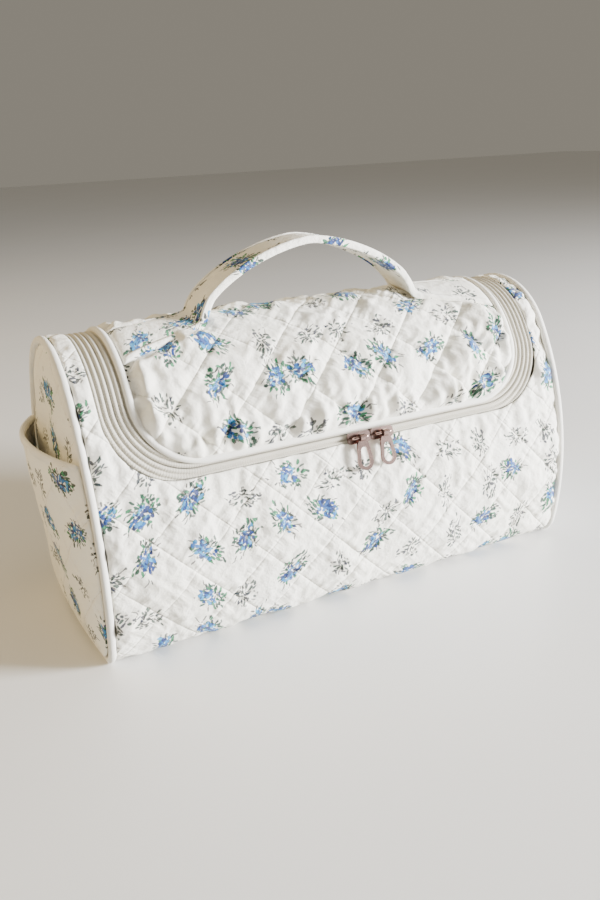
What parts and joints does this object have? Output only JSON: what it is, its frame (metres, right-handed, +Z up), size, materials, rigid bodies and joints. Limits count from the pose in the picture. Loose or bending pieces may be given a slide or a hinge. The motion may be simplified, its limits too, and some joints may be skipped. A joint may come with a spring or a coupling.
{
  "type": "makeup bag",
  "caption": "Quilted cotton makeup bag with a domed body, U-shaped zipped lid, padded strap handle, corded ends and an open slip pocket at each end",
  "frame": {"origin": "middle of the flat base, on the floor plane", "axes": "+X along the bag's length, to the right seen from the front; +Y towards the back, where the lid folds; +Z up"},
  "size_m": [0.3086, 0.1272, 0.1904],
  "materials": {
    "quilted_print": "matt cotton with a small blue and green flower print, quilted in diamonds",
    "wadding": "soft fibre filling",
    "lining": "plain matt cotton",
    "trim": "off-white woven tape and binding",
    "zip_coil": "satin nylon coil",
    "slider_metal": "bright plated metal, faintly warm"
  },
  "bodies": {
    "bag_body": {"body_outer": "quilted_print", "body_wadding": "wadding", "body_lining": "lining", "body_zip_tape": "trim", "body_zip_coil": "zip_coil", "zip_stop_left": "slider_metal", "zip_stop_right": "slider_metal", "left_piping": "trim", "left_end_panel": "quilted_print", "left_end_wadding": "wadding", "left_end_lining": "lining", "left_seam_binding": "trim", "left_pocket_panel": "quilted_print", "left_pocket_binding": "trim", "right_piping": "trim", "right_end_panel": "quilted_print", "right_end_wadding": "wadding", "right_end_lining": "lining", "right_seam_binding": "trim", "right_pocket_panel": "quilted_print", "right_pocket_binding": "trim"},
    "lid": {"lid_outer": "quilted_print", "lid_wadding": "wadding", "lid_lining": "lining", "lid_zip_tape": "trim", "lid_zip_coil": "zip_coil", "lid_edge_binding": "trim", "handle_tab_left": "quilted_print", "handle_tab_right": "quilted_print"},
    "handle": {"handle_cover": "quilted_print", "handle_core": "wadding", "handle_front_edge": "trim", "handle_back_edge": "trim"},
    "slider_left": {"slider_left": "slider_metal", "slider_left_bail": "slider_metal"},
    "slider_right": {"slider_right": "slider_metal", "slider_right_bail": "slider_metal"},
    "pull_left": {"pull_left": "slider_metal"},
    "pull_right": {"pull_right": "slider_metal"}
  },
  "joints": [
    {"name": "lid_open", "type": "hinge", "parent": "bag_body", "child": "lid", "pos_m": [0, 0.034, 0.13593], "axis": [-1, 0, 0], "range_deg": [0, 115]},
    {"name": "handle_fold", "type": "hinge", "parent": "lid", "child": "handle", "pos_m": [0, -0.004, 0.1582], "axis": [1, 0, 0], "range_deg": [-46, 55]},
    {"name": "slider_left_travel", "type": "slide", "parent": "bag_body", "child": "slider_left", "axis": [-1, 0, 0], "range_m": [0, 0.079]},
    {"name": "slider_right_travel", "type": "slide", "parent": "bag_body", "child": "slider_right", "axis": [1, 0, 0], "range_m": [0, 0.064]},
    {"name": "pull_left_swing", "type": "hinge", "parent": "slider_left", "child": "pull_left", "pos_m": [0.001, -0.05962, 0.0913], "axis": [-1, 0, 0], "range_deg": [0, 120]},
    {"name": "pull_right_swing", "type": "hinge", "parent": "slider_right", "child": "pull_right", "pos_m": [0.015, -0.05962, 0.0913], "axis": [-1, 0, 0], "range_deg": [0, 120]}
  ]
}
